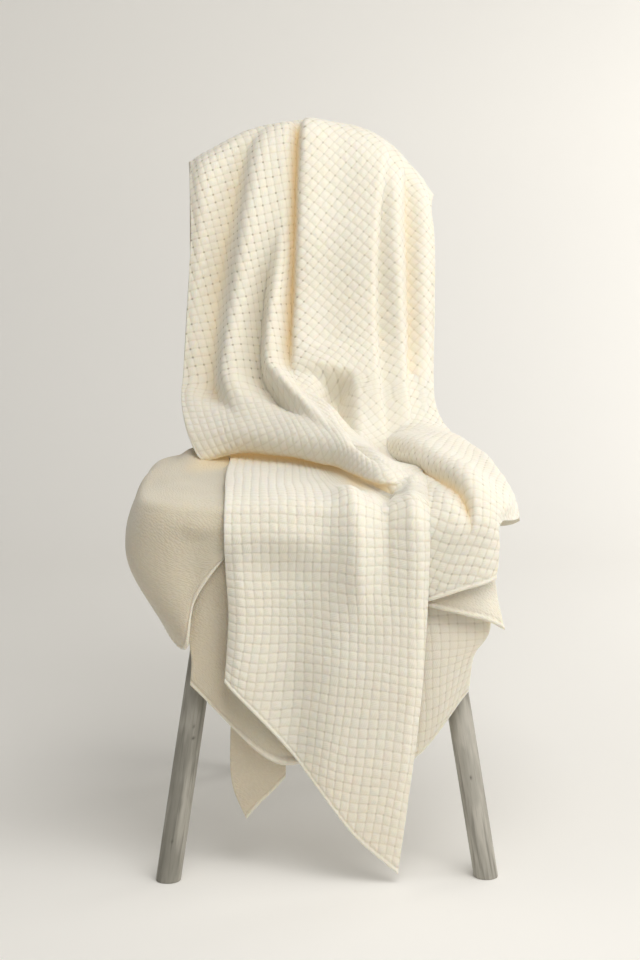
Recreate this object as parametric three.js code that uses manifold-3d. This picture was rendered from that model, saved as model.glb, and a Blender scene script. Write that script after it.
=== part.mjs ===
// Knitted blanket draped over a plain four-legged chair.
// Millimetres, +Z up, the chair's front faces -Y.
import * as THREE from 'three';
import { mergeVertices } from 'three/addons/utils/BufferGeometryUtils.js';
import Module from 'manifold-3d';

const wasm = await Module();
wasm.setup();

// The tables measure X and Y from a point between the front feet and the back; the frame's origin is
// the middle of the whole outline on the floor.
const MIDDLE_X = -4;
const MIDDLE_Y = 29;

// Thickness of the heavy knit, and the gap between pieces that touch.
const CLOTH = 5;
const GAP = 0.3;

// Chair
const SEAT_TOP = 450;
const SEAT_THICK = 36;
const SEAT_HALF_FRONT = 196;
const SEAT_HALF_REAR = 168;
const SEAT_FRONT_Y = -205;
const SEAT_REAR_Y = 240;
const SEAT_CORNER = 85;
const SEAT_EDGE = 7;
const LEG_RADIUS = 15;
const LEG_SIDES = 28;
const BOARD_HALF = 138;
const BOARD_THICK = 20;
const BOARD_FRONT_Y = 214;
const BOARD_TOP = 900;
const BOARD_ARCH = 86;
const BOARD_RAKE = 0.1;

// One row a leg: where its middle meets the seat and the floor.
const LEG_COLUMNS = ['name', 'topX', 'topY', 'footX', 'footY'];
const LEGS = [
  ['leg_front_left', -129, -140, -193.5, -218],
  ['leg_front_right', 129, -140, 193.5, -218],
  ['leg_rear_left', -84, 178, -94, 236],
  ['leg_rear_right', 84, 178, 94, 236],
];

// One row a section of cloth, from its left end over its middle to its right end. Sharp 0 rounds the
// section through the three points and sharp 1 bends it at the middle one.
const SECTION_COLUMNS = ['at', 'lx', 'ly', 'lz', 'mx', 'my', 'mz', 'rx', 'ry', 'rz', 'sharp', 'steps'];

// From the hem behind the chair, over its back, down to the roll on the seat, tucked under the roll,
// forward over the seat and down in front to the slanting hem.
const MAIN = [
  ['rear hem', -160, 302, 372, 0, 300, 330, 158, 298, 402, 0, 2],
  ['rear', -172, 300, 600, 0, 302, 590, 164, 297, 610, 0, 2],
  ['behind the top', -172, 293, 815, 4, 298, 872, 160, 290, 775, 0, 2],
  ['over the top', -171, 267, 854, 6, 271, 909, 166, 264, 811, 0, 3],
  ['under the top', -172, 234, 838, 4, 234, 888, 167, 231, 790, 0, 4],
  ['back, high', -170, 212, 765, 0, 204, 775, 164, 206, 740, 0, 4],
  ['back, middle', -176, 202, 665, -2, 192, 670, 163, 196, 660, 0, 4],
  ['back, low', -185, 180, 580, -4, 158, 592, 164, 182, 570, 0, 3],
  ['roll, top', -182, 118, 532, -4, 86, 546, 164, 112, 484, 0, 3],
  ['roll, front', -168, 66, 508, 0, 44, 514, 126, -130, 470, 0, 2],
  ['roll, low', -158, 63, 488, 0, 42, 490, 119, -172, 469, 0, 2],
  ['roll, under', -148, 96, 480, 0, 60, 480, 116, -190, 469, 0, 3],
  ['tuck', -138, 146, 474, -2, 76, 474, 116, -198, 468, 0, 3],
  ['tuck, under', -130, 118, 464, -4, 54, 465, 116, -205, 467, 0, 2],
  ['seat', -122, -40, 466, -4, -68, 466, 117, -211, 465, 0, 2],
  ['seat, front', -122, -190, 465, -4, -194, 465, 118, -217, 460, 0, 3],
  ['rim', -122, -225, 440, -3, -228, 438, 119, -231, 432, 0, 3],
  ['panel, high', -121, -230, 385, -4, -236, 372, 117, -237, 345, 0, 3],
  ['panel, middle', -118, -232, 325, -12, -242, 278, 110, -242, 215, 0, 3],
  ['panel hem', -122, -234, 246, -22, -248, 131, 82, -252, 13, 0, 0],
];

// The corner that hangs over the seat's left front, its plain side out.
const LEFT = [
  ['seat, inside', -108, 120, 462.5, -112, -40, 462.5, -60, -130, 462.5, 0, 2],
  ['seat, outside', -190, 150, 457, -184, -140, 459, -72, -202, 461, 0.4, 2],
  ['rim', -226, 130, 440, -219, -182, 444, -90, -219, 441, 0.5, 3],
  ['bulge', -234, 100, 400, -228, -184, 402, -95, -220, 410, 0.5, 3],
  ['hem', -228, 40, 356, -174, -213, 284, -112, -220, 425, 0.7, 0],
];

// The corner behind the front panel, its tip hidden by the panel.
const INNER = [
  ['tuck', -116, 92, 464, 0, 60, 464, 100, -10, 464, 0, 2],
  ['seat', -146, -40, 452.8, 0, -50, 452.8, 140, -50, 452.8, 0, 1],
  ['seat, forward', -152, -140, 452.8, 0, -150, 452.8, 150, -140, 452.8, 0, 1],
  ['seat, front', -156, -196, 454.5, 0, -199, 454.5, 168, -192, 454.5, 0, 2],
  ['rim', -165, -211, 438, 0, -213, 438, 192, -210, 438, 0, 3],
  ['recess', -167, -206, 350, 5, -215, 340, 200, -192, 352, 0, 2],
  ['lip', -167, -206, 318, 8, -215, 300, 212, -214, 310, 0, 2],
  ['under the lip', -167, -206, 296, 12, -215, 240, 184, -206, 280, 0.4, 2],
  ['hem', -168, -206, 240, 23, -214, 67, 171, -204, 228, 0.8, 0],
];

// The small corner that hangs furthest down behind it.
const SMALL = [
  ['top', -112, -207, 262, -80, -208, 262, -46, -209, 262, 0, 2],
  ['middle', -117, -194, 170, -84, -198, 160, -50, -200, 150, 0, 2],
  ['hem', -99, -186, 63, -75, -192, 90, -51, -197, 120, 0, 0],
];

// The folds heaped on the right of the seat and hanging over its right front.
const RIGHT = [
  ['on the back', 92, 176, 572, 128, 181, 570, 152, 187, 566, 0, 2],
  ['down the back', 84, 118, 506, 134, 128, 512, 170, 152, 506, 0, 2],
  ['heap', 84, 46, 472, 150, 56, 502, 212, 92, 474, 0, 3],
  ['seat', 92, -80, 463, 162, -78, 491, 230, -40, 462, 0, 3],
  ['front', 108, -182, 463, 172, -190, 476, 231, -150, 452, 0, 3],
  ['rim', 119, -221, 442, 180, -225, 446, 231, -196, 440, 0, 3],
  ['hem', 119, -222, 341, 158, -228, 349, 192, -219, 361, 0, 0],
];

// One row a fold, raised (+) or sunk (-) by its depth. It runs from one section to another, by the
// section's number, while its place across goes from u0 to u1; half is its half width across.
const FOLD_COLUMNS = ['name', 'from', 'to', 'u0', 'u1', 'half', 'depth', 'lean'];
const MAIN_FOLDS = [
  ['left edge turned back', 3.0, 9.4, 0.0, 0.0, 0.04, -24, 0],
  ['right edge turned back', 3.0, 8.4, 1.0, 1.0, 0.04, -20, 0],
  ['outer left valley', 3.4, 7.6, 0.245, 0.15, 0.045, -16, 0],
  ['middle left lobe', 4.2, 7.6, 0.29, 0.22, 0.04, 9, 0],
  ['inner left valley', 5.4, 7.6, 0.3, 0.3, 0.03, -18, 0],
  ['rolled ridge', 5.2, 8.4, 0.355, 0.49, 0.034, 18, 0],
  ['pleat', 3.5, 7.0, 0.415, 0.4, 0.022, -30, 0],
  ['pleat edge', 3.2, 7.2, 0.455, 0.44, 0.028, 13, -6],
  ['pocket', 6.9, 8.5, 0.57, 0.6, 0.05, -26, 0],
  ['right ridge', 4.2, 7.8, 0.7, 0.745, 0.04, 9, 0],
  ['right narrow valley', 4.6, 7.9, 0.765, 0.79, 0.022, -15, 0],
  ['right lobe', 4.0, 7.9, 0.83, 0.835, 0.03, 9, 0],
  ['right wide valley', 3.6, 7.9, 0.895, 0.89, 0.032, -15, 0],
  ['rope', 8.2, 21.0, 0.84, 0.95, 0.06, 10, 0],
  ['rear left valley', 0.0, 2.4, 0.25, 0.3, 0.06, -12, 0],
  ['rear middle ridge', 0.0, 2.4, 0.48, 0.46, 0.06, 14, 0],
  ['rear right valley', 0.0, 2.4, 0.72, 0.7, 0.06, -12, 0],
  ['panel left edge', 13.4, 18.6, 0.0, 0.0, 0.05, -4, 0],
  ['panel ridge', 14.6, 17.4, 0.64, 0.67, 0.05, 6, 0],
  ['panel valley', 14.8, 17.8, 0.78, 0.8, 0.05, -7, 0],
];
const LEFT_FOLDS = [['front crease', 2.2, 4.0, 0.78, 0.8, 0.07, -6, 0]];
const INNER_FOLDS = [
  ['left crease', 4.2, 8.0, 0.12, 0.12, 0.05, -5, 0],
  ['right crease', 4.2, 6.4, 0.8, 0.84, 0.05, 5, 0],
];
const RIGHT_FOLDS = [
  ['second roll', 1.6, 4.4, 0.28, 0.62, 0.12, 10, 0],
  ['under the roll', 2.4, 5.3, 0.2, 0.62, 0.07, -13, 0],
  ['outer roll', 2.0, 5.0, 0.8, 0.84, 0.08, 7, 0],
];

// How the columns of points are spread across each sheet: up to this share, in this many steps.
const ACROSS_COLUMNS = ['upTo', 'steps'];
const MAIN_ACROSS = [[0.06, 2], [0.36, 8], [0.48, 8], [0.72, 5], [0.94, 8], [1, 2]];
const LEFT_ACROSS = [[1, 11]];
const INNER_ACROSS = [[1, 14]];
const SMALL_ACROSS = [[1, 4]];
const RIGHT_ACROSS = [[1, 11]];

const IVORY = 0xf0e8d4;
const GREY = 0x8f8b80;
const HIDDEN_GREY = 0x9a958a;
const FABRIC = { color: IVORY, roughness: 0.95, metalness: 0 };
const WOOD = { color: GREY, roughness: 0.7, metalness: 0 };
const HIDDEN_WOOD = { color: HIDDEN_GREY, roughness: 0.75, metalness: 0 };

function readTable(columns, rows) {
  return rows.map((row) => Object.fromEntries(columns.map((name, i) => [name, row[i]])));
}

function mesh(name, geometry, look) {
  const made = new THREE.Mesh(geometry, new THREE.MeshStandardMaterial(look));
  made.name = name;
  return made;
}

function smoothStep(low, high, value) {
  const t = Math.min(1, Math.max(0, (value - low) / (high - low)));
  return t * t * (3 - 2 * t);
}

// A smooth value between the rows of one column, through every row.
function between(values, at) {
  const last = values.length - 1;
  const i = Math.min(last - 1, Math.floor(at));
  const t = at - i;
  const b = values[i];
  const c = values[i + 1];
  const a = i > 0 ? values[i - 1] : 2 * b - c;
  const d = i + 2 <= last ? values[i + 2] : 2 * c - b;
  const square = 2 * a - 5 * b + 4 * c - d;
  const cube = 3 * b - a - 3 * c + d;
  return (2 * b + (c - a) * t + square * t * t + cube * t * t * t) / 2;
}

// The cloth's middle surface without its folds, u across and at along the sections.
function sectionPoint(columns, u, at) {
  const sharp = between(columns.sharp, at);
  const axis = (k) => {
    const left = between(columns['l' + k], at);
    const mid = between(columns['m' + k], at);
    const right = between(columns['r' + k], at);
    const bent = u < 0.5 ? left + (mid - left) * 2 * u : mid + (right - mid) * (2 * u - 1);
    const round = left * (2 * u - 1) * (u - 1) + mid * 4 * u * (1 - u) + right * u * (2 * u - 1);
    return round + (bent - round) * sharp;
  };
  return new THREE.Vector3(axis('x'), axis('y'), axis('z'));
}

function surfaceFrame(point, u, at, last) {
  const du = 0.004;
  const dv = 0.02;
  const u0 = Math.max(0, u - du);
  const u1 = Math.min(1, u + du);
  const v0 = Math.max(0, at - dv);
  const v1 = Math.min(last, at + dv);
  const across = point(u1, at).sub(point(u0, at)).normalize();
  const along = point(u, v1).sub(point(u, v0)).normalize();
  return { across, out: new THREE.Vector3().crossVectors(along, across).normalize() };
}

// How far each fold moves the cloth out of its surface and sideways along it.
function foldShift(folds, u, at) {
  const shift = { out: 0, side: 0 };
  for (const fold of folds) {
    const length = fold.to - fold.from;
    const t = (at - fold.from) / length;
    const fade = smoothStep(0, 0.25, t) * smoothStep(0, 0.25, 1 - t);
    const centre = fold.u0 + (fold.u1 - fold.u0) * Math.min(1, Math.max(0, t));
    const x = (u - centre) / fold.half;
    const shape = fade * Math.exp(-x * x);
    shift.out += fold.depth * shape;
    shift.side += fold.lean * shape;
  }
  return shift;
}

// A closed sheet of cloth: its middle surface set off by half the thickness to both sides.
function sheet(sectionRows, foldRows, acrossRows) {
  const sections = readTable(SECTION_COLUMNS, sectionRows);
  const folds = readTable(FOLD_COLUMNS, foldRows);
  const columns = {};
  for (const name of SECTION_COLUMNS.slice(1)) columns[name] = sections.map((row) => row[name]);
  const last = sections.length - 1;
  const plain = (u, at) => sectionPoint(columns, u, at);
  const folded = (u, at) => {
    const frame = surfaceFrame(plain, u, at, last);
    const shift = foldShift(folds, u, at);
    return plain(u, at).addScaledVector(frame.out, shift.out).addScaledVector(frame.across, shift.side);
  };
  const rows = [];
  sections.forEach((row, i) => {
    for (let k = 0; k < row.steps; k++) rows.push(i + k / row.steps);
  });
  rows.push(last);
  const shares = [0];
  for (const { upTo, steps } of readTable(ACROSS_COLUMNS, acrossRows)) {
    const start = shares[shares.length - 1];
    for (let k = 1; k <= steps; k++) shares.push(start + ((upTo - start) * k) / steps);
  }
  const points = [];
  for (const side of [1, -1]) {
    for (const at of rows) {
      for (const u of shares) {
        const frame = surfaceFrame(folded, u, at, last);
        points.push(folded(u, at).addScaledVector(frame.out, (side * CLOTH) / 2));
      }
    }
  }
  return closedSheet(points, rows.length, shares.length);
}

// Faces of a sheet whose points are two grids of rows and columns, the outer one first.
function closedSheet(points, rowCount, columnCount) {
  const faces = [];
  const quad = (a, b, c, d) => faces.push(a, b, c, a, c, d);
  const half = rowCount * columnCount;
  const at = (r, c, side) => side * half + r * columnCount + c;
  for (let r = 0; r + 1 < rowCount; r++) {
    for (let c = 0; c + 1 < columnCount; c++) {
      quad(at(r, c, 0), at(r + 1, c, 0), at(r + 1, c + 1, 0), at(r, c + 1, 0));
      quad(at(r, c, 1), at(r, c + 1, 1), at(r + 1, c + 1, 1), at(r + 1, c, 1));
    }
  }
  const rim = [];
  for (let c = 0; c + 1 < columnCount; c++) rim.push([0, c]);
  for (let r = 0; r + 1 < rowCount; r++) rim.push([r, columnCount - 1]);
  for (let c = columnCount - 1; c > 0; c--) rim.push([rowCount - 1, c]);
  for (let r = rowCount - 1; r > 0; r--) rim.push([r, 0]);
  rim.forEach(([r, c], i) => {
    const [nextR, nextC] = rim[(i + 1) % rim.length];
    quad(at(r, c, 0), at(nextR, nextC, 0), at(nextR, nextC, 1), at(r, c, 1));
  });
  const places = points.flatMap((point) => point.toArray());
  const geometry = new THREE.BufferGeometry();
  geometry.setAttribute('position', new THREE.Float32BufferAttribute(places, 3));
  geometry.setIndex(faces);
  return geometry;
}

function toSolid(geometry) {
  const bare = geometry.clone();
  bare.deleteAttribute('normal');
  bare.deleteAttribute('uv');
  const merged = mergeVertices(bare, 1e-4);
  return new wasm.Manifold(new wasm.Mesh({
    numProp: 3,
    vertProperties: new Float32Array(merged.attributes.position.array),
    triVerts: new Uint32Array(merged.index.array),
  }));
}

function toGeometry(solid) {
  const made = solid.getMesh();
  const geometry = new THREE.BufferGeometry();
  geometry.setAttribute('position', new THREE.BufferAttribute(new Float32Array(made.vertProperties), 3));
  geometry.setIndex([...made.triVerts]);
  geometry.computeVertexNormals();
  return geometry;
}

function blanket() {
  const sheets = [
    sheet(MAIN, MAIN_FOLDS, MAIN_ACROSS),
    sheet(LEFT, LEFT_FOLDS, LEFT_ACROSS),
    sheet(INNER, INNER_FOLDS, INNER_ACROSS),
    sheet(SMALL, [], SMALL_ACROSS),
    sheet(RIGHT, RIGHT_FOLDS, RIGHT_ACROSS),
  ];
  const whole = sheets.map(toSolid).reduce((a, b) => a.add(b));
  return mesh('blanket', toGeometry(whole), FABRIC);
}

function seat() {
  const front = SEAT_FRONT_Y + SEAT_EDGE;
  const rear = SEAT_REAR_Y - SEAT_EDGE;
  const halfFront = SEAT_HALF_FRONT - SEAT_EDGE;
  const halfRear = SEAT_HALF_REAR - SEAT_EDGE;
  const shape = new THREE.Shape();
  shape.moveTo(-halfFront + SEAT_CORNER, front);
  shape.lineTo(halfFront - SEAT_CORNER, front);
  shape.quadraticCurveTo(halfFront, front, halfFront, front + SEAT_CORNER);
  shape.lineTo(halfRear, rear - SEAT_CORNER);
  shape.quadraticCurveTo(halfRear, rear, halfRear - SEAT_CORNER, rear);
  shape.lineTo(-halfRear + SEAT_CORNER, rear);
  shape.quadraticCurveTo(-halfRear, rear, -halfRear, rear - SEAT_CORNER);
  shape.lineTo(-halfFront, front + SEAT_CORNER);
  shape.quadraticCurveTo(-halfFront, front, -halfFront + SEAT_CORNER, front);
  const geometry = new THREE.ExtrudeGeometry(shape, {
    depth: SEAT_THICK - 2 * SEAT_EDGE,
    bevelThickness: SEAT_EDGE,
    bevelSize: SEAT_EDGE,
    bevelSegments: 3,
    curveSegments: 8,
  });
  const made = mesh('seat', geometry, HIDDEN_WOOD);
  made.position.z = SEAT_TOP - SEAT_THICK + SEAT_EDGE;
  return made;
}

// A round rod from the seat's underside to the floor, leaning outward, its ends level.
function leg(row) {
  const top = SEAT_TOP - SEAT_THICK - GAP;
  const geometry = new THREE.CylinderGeometry(LEG_RADIUS, LEG_RADIUS, top, LEG_SIDES, 1);
  geometry.rotateX(Math.PI / 2);
  geometry.translate(0, 0, top / 2);
  const place = geometry.attributes.position;
  for (let i = 0; i < place.count; i++) {
    const t = place.getZ(i) / top;
    place.setX(i, place.getX(i) + (row.topX - row.footX) * t);
    place.setY(i, place.getY(i) + (row.topY - row.footY) * t);
  }
  geometry.computeVertexNormals();
  const made = mesh(row.name, geometry, WOOD);
  made.position.set(row.footX, row.footY, 0);
  return made;
}

// A board with an arched top, standing on the seat and raked backward.
function backBoard() {
  const foot = SEAT_TOP + GAP;
  const arcSteps = 20;
  const shape = new THREE.Shape();
  shape.moveTo(-BOARD_HALF, 0);
  shape.lineTo(BOARD_HALF, 0);
  for (let i = 0; i <= arcSteps; i++) {
    const x = BOARD_HALF * (1 - (2 * i) / arcSteps);
    shape.lineTo(x, BOARD_TOP - foot - BOARD_ARCH * (x / BOARD_HALF) ** 2);
  }
  shape.closePath();
  const geometry = new THREE.ExtrudeGeometry(shape, { depth: BOARD_THICK, bevelEnabled: false });
  geometry.rotateX(Math.PI / 2);
  const place = geometry.attributes.position;
  for (let i = 0; i < place.count; i++) {
    place.setY(i, place.getY(i) + place.getZ(i) * BOARD_RAKE);
  }
  geometry.computeVertexNormals();
  const made = mesh('back_board', geometry, HIDDEN_WOOD);
  made.position.set(0, BOARD_FRONT_Y + BOARD_THICK, foot);
  return made;
}

const placed = new THREE.Group();
placed.name = 'placed';
placed.position.set(-MIDDLE_X, -MIDDLE_Y, 0);
placed.add(blanket());
placed.add(seat());
placed.add(backBoard());
for (const row of readTable(LEG_COLUMNS, LEGS)) placed.add(leg(row));

const part = new THREE.Group();
part.name = 'draped_blanket_chair';
part.add(placed);

export default part;
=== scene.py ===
import math

import bpy
import numpy as np
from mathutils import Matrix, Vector


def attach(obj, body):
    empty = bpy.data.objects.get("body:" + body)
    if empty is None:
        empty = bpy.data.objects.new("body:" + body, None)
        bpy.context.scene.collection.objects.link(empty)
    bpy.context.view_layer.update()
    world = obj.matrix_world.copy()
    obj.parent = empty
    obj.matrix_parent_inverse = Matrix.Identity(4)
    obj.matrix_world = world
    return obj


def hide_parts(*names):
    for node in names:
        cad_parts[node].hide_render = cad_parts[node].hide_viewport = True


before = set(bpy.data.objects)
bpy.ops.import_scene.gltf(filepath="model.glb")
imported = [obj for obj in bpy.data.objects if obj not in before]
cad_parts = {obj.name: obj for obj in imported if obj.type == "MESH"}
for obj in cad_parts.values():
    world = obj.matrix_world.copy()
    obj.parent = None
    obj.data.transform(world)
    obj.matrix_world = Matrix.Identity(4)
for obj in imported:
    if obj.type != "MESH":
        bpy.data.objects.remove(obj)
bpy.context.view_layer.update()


# Chair legs. Four round rods of old wood, set under the seat and leaning outward to the floor.
# The bare wood has weathered to grey, with long dark streaks, open grain and a few nicks.

MM = 0.001
ORIGIN = np.array([4.0, -29.0, 0.0])
LEG_RADIUS = 15.0
LEG_TOP = 413.7
LEG_EDGE = 1.2
LEG_SIDES = 72
LEG_RINGS = 240
# Each leg: its name, its middle under the seat and on the floor, and how far its wood is painted paler:
# partly wear, and partly painted light on the front right leg, which stands in the light.
LEGS = [
    ("leg_front_left", (-129, -140), (-193.5, -218), 0.1),
    ("leg_front_right", (129, -140), (193.5, -218), 1.0),
    ("leg_rear_left", (-84, 178), (-94, 236), 0.3),
    ("leg_rear_right", (84, 178), (94, 236), 0.3),
]
NICK_DEPTH = 0.7
# Each nick: its leg, the angle round it, height, half width and half height.
NICKS = [
    ("leg_front_left", -1.25, 172, 2.0, 1.6), ("leg_front_left", -1.35, 186, 0.9, 2.0),
    ("leg_front_left", -1.75, 50, 1.2, 2.0), ("leg_front_right", -1.57, 122, 1.1, 2.2),
    ("leg_rear_left", 1.6, 140, 1.6, 5.0), ("leg_rear_right", 1.3, 96, 1.4, 4.0),
]
STREAK_DARK = (0.105, 0.098, 0.080)
WOOD_GREY = (0.262, 0.250, 0.212)
# Paler grey for patches of wear and streaks, and for the painted light on the leg in the light.
PALE_FOR_WEAR_AND_PAINTED_LIGHT = (0.490, 0.465, 0.405)
GRAIN_DEPTH = 0.6 * MM


def smooth(value, low, high):
    """0 up to low, 1 from high on, and an S-curve between."""
    t = np.clip((value - low) / (high - low), 0, 1)
    return t * t * (3 - 2 * t)


def node(tree, kind, values=None, **settings):
    """Adds a shader node; a value that is another node's socket is linked, any other is set."""
    made = tree.nodes.new(kind)
    for key, value in settings.items():
        setattr(made, key, value)
    for key, value in (values or {}).items():
        if isinstance(value, bpy.types.NodeSocket):
            tree.links.new(value, made.inputs[key])
        else:
            made.inputs[key].default_value = value
    return made


def maths(tree, operation, *values):
    return node(tree, "ShaderNodeMath", dict(enumerate(values)), operation=operation).outputs[0]


def ramp(tree, value, low, high, first=0.0, last=1.0):
    """An S-curve from first, up to low, to last, from high on."""
    values = {"Value": value, "From Min": low, "From Max": high, "To Min": first, "To Max": last}
    return node(tree, "ShaderNodeMapRange", values, interpolation_type="SMOOTHSTEP").outputs["Result"]


def tint(tree, share, first, second):
    """First colour where share is 0 and second where it is 1."""
    made = node(tree, "ShaderNodeMix", {0: share}, data_type="RGBA")
    for place, colour in ((6, first), (7, second)):
        if isinstance(colour, bpy.types.NodeSocket):
            tree.links.new(colour, made.inputs[place])
        else:
            made.inputs[place].default_value = (*colour, 1)
    return made.outputs[2]


def new_group(name, inputs, outputs):
    tree = bpy.data.node_groups.new(name, "ShaderNodeTree")
    for label, kind in inputs:
        tree.interface.new_socket(label, in_out="INPUT", socket_type=kind)
    for label, kind in outputs:
        tree.interface.new_socket(label, in_out="OUTPUT", socket_type=kind)
    return tree, tree.nodes.new("NodeGroupInput").outputs, tree.nodes.new("NodeGroupOutput").inputs


def new_material(name):
    made = bpy.data.materials.new(name)
    made.use_nodes = True
    return made, made.node_tree, made.node_tree.nodes["Principled BSDF"]


def grey_grain():
    """Weathered wood along Z: broad patches of wear, soft streaks and faint open grain, each a noise that
    is drawn out along the grain. The paleness given to each leg adds wear and painted light."""
    tree, given, made = new_group(
        "grey_grain", [("Place", "NodeSocketVector"), ("Painted_light_and_wear", "NodeSocketFloat")],
        [("Colour", "NodeSocketColor"), ("Height", "NodeSocketFloat"), ("Roughness", "NodeSocketFloat")])

    def drawn_out(scale, detail):
        place = node(tree, "ShaderNodeMapping", {"Vector": given["Place"], "Scale": scale}).outputs[0]
        values = {"Vector": place, "Scale": 1.0, "Detail": detail, "Roughness": 0.55}
        return node(tree, "ShaderNodeTexNoise", values).outputs["Fac"]

    patches = drawn_out((55, 55, 14), 2.0)
    streaks = drawn_out((150, 150, 9), 3.0)
    grain = drawn_out((800, 800, 30), 2.0)
    # The leg's given paleness, partly wear and partly painted light, plus the patches of wear.
    painted_light_and_wear = maths(tree, "MULTIPLY_ADD", given["Painted_light_and_wear"], 0.6, ramp(tree, patches, 0.40, 0.66, 0.0, 0.55))
    colour = tint(tree, painted_light_and_wear, WOOD_GREY, PALE_FOR_WEAR_AND_PAINTED_LIGHT)
    colour = tint(tree, ramp(tree, streaks, 0.50, 0.30, 0.0, 0.5), colour, STREAK_DARK)
    colour = tint(tree, ramp(tree, streaks, 0.56, 0.74, 0.0, 0.4), colour, PALE_FOR_WEAR_AND_PAINTED_LIGHT)
    colour = tint(tree, ramp(tree, grain, 0.46, 0.30, 0.0, 0.22), colour, STREAK_DARK)
    tree.links.new(colour, made["Colour"])
    height = maths(tree, "MULTIPLY_ADD", streaks, 0.7, maths(tree, "MULTIPLY", grain, 0.3))
    tree.links.new(height, made["Height"])
    tree.links.new(ramp(tree, patches, 0.3, 0.7, 0.72, 0.55), made["Roughness"])
    return tree


GREY_GRAIN = grey_grain()


def wood_material(name, place_from):
    """Grey grain whose place comes from the point attribute grain, or from Object coordinates turned
    so that the grain runs the way that is named."""
    made, tree, shader = new_material(name)
    if place_from == "grain":
        place = node(tree, "ShaderNodeAttribute", attribute_name="grain").outputs["Vector"]
    else:
        place = node(tree, "ShaderNodeTexCoord").outputs["Object"]
        turn = {"depth": (math.pi / 2, 0, 0), "width": (0, math.pi / 2, 0)}[place_from]
        place = node(tree, "ShaderNodeMapping", {"Vector": place, "Rotation": turn}).outputs[0]
    grain = node(tree, "ShaderNodeGroup", node_tree=GREY_GRAIN)
    tree.links.new(place, grain.inputs[0])
    painted_light_and_wear = node(tree, "ShaderNodeAttribute", attribute_name="painted_light_and_wear").outputs["Fac"]
    tree.links.new(painted_light_and_wear, grain.inputs[1])
    nick = node(tree, "ShaderNodeAttribute", attribute_name="nick").outputs["Fac"]
    tree.links.new(tint(tree, nick, grain.outputs["Colour"], STREAK_DARK), shader.inputs["Base Color"])
    tree.links.new(grain.outputs["Roughness"], shader.inputs["Roughness"])
    height = grain.outputs["Height"]
    bump = node(tree, "ShaderNodeBump", {"Height": height, "Strength": 0.5, "Distance": GRAIN_DEPTH})
    tree.links.new(bump.outputs[0], shader.inputs["Normal"])
    shader.inputs["Specular IOR Level"].default_value = 0.3
    return made


def rod_points(leg, top, foot):
    """A round rod with level ends: the radius in angle and height, less a quarter circle at both
    ends, faint ridges along the grain and bell-shaped nicks; each height is shifted by the lean."""
    angle = np.linspace(0, 2 * math.pi, LEG_SIDES, endpoint=False)[None, :]
    ends = LEG_EDGE * (1 - np.cos(np.linspace(0, math.pi / 2, 5)))
    z = np.concatenate([ends, np.linspace(2, LEG_TOP - 2, LEG_RINGS), LEG_TOP - ends[::-1]])[:, None]
    near = np.minimum(np.minimum(z, LEG_TOP - z), LEG_EDGE)
    radius = LEG_RADIUS - LEG_EDGE + np.sqrt(np.maximum(LEG_EDGE**2 - (LEG_EDGE - near) ** 2, 0))
    drift = 0.4 * np.sin(z / 61) + 0.25 * np.sin(z / 23 + 1)
    radius = radius + 0.10 * np.sin(23 * angle + 3 * drift) * np.sin(9 * angle + z / 90)
    radius = radius + 0.18 * np.sin(2 * angle + z / 120 + foot[0])
    nick = np.zeros_like(radius)
    for of_leg, turn, height, wide, tall in NICKS:
        across = LEG_RADIUS * (np.mod(angle - turn + math.pi, 2 * math.pi) - math.pi)
        dent = np.exp(-((across / wide) ** 2) - ((z - height) / tall) ** 2)
        nick = np.maximum(nick, (of_leg == leg) * dent)
    radius = radius - NICK_DEPTH * nick
    t = z / LEG_TOP
    x, y = radius * np.cos(angle), radius * np.sin(angle)
    leaned_x = x + foot[0] + (top[0] - foot[0]) * t
    leaned_y = y + foot[1] + (top[1] - foot[1]) * t
    place = np.stack(np.broadcast_arrays(leaned_x, leaned_y, z), -1)
    grain = np.stack(np.broadcast_arrays(x + 3 * foot[0], y + 3 * foot[1], z), -1)
    return place, grain, nick


def new_piece(name, places, corners, sizes):
    """A mesh from points in the tables' millimetres, with its faces' corners end to end."""
    mesh = bpy.data.meshes.new(name)
    mesh.vertices.add(len(places))
    mesh.vertices.foreach_set("co", ((places + ORIGIN) * MM).astype(np.float32).ravel())
    mesh.loops.add(len(corners))
    mesh.loops.foreach_set("vertex_index", corners.astype(np.int32))
    mesh.polygons.add(len(sizes))
    mesh.polygons.foreach_set("loop_start", (np.cumsum(sizes) - sizes).astype(np.int32))
    mesh.polygons.foreach_set("use_smooth", np.ones(len(sizes), dtype=bool))
    piece = bpy.data.objects.new(name, mesh)
    bpy.context.scene.collection.objects.link(piece)
    return piece


leg_wood = wood_material("grey_rod_wood", "grain")
for leg_name, leg_top, leg_foot, leg_painted_light_and_wear in LEGS:
    place, grain, nick = rod_points(leg_name, leg_top, leg_foot)
    rows, around = place.shape[:2]
    ring = np.arange(rows * around).reshape(rows, around)
    side = np.stack([ring[:-1], np.roll(ring[:-1], -1, 1), np.roll(ring[1:], -1, 1), ring[1:]], -1)
    corners = np.concatenate([side.ravel(), ring[0, ::-1], ring[-1]])
    sizes = np.concatenate([np.full(side.shape[0] * around, 4), [around, around]])
    rod = new_piece(leg_name + "_rod", place.reshape(-1, 3), corners, sizes)
    held = rod.data.attributes.new("grain", "FLOAT_VECTOR", "POINT")
    held.data.foreach_set("vector", (grain * MM).astype(np.float32).ravel())
    for mark, share in (("nick", nick), ("painted_light_and_wear", np.full_like(nick, leg_painted_light_and_wear))):
        held = rod.data.attributes.new(mark, "FLOAT", "POINT")
        held.data.foreach_set("value", share.astype(np.float32).ravel())
    rod.data.update(calc_edges=True)
    rod.data.materials.append(leg_wood)
    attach(rod, "root")
    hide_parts(leg_name)


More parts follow.
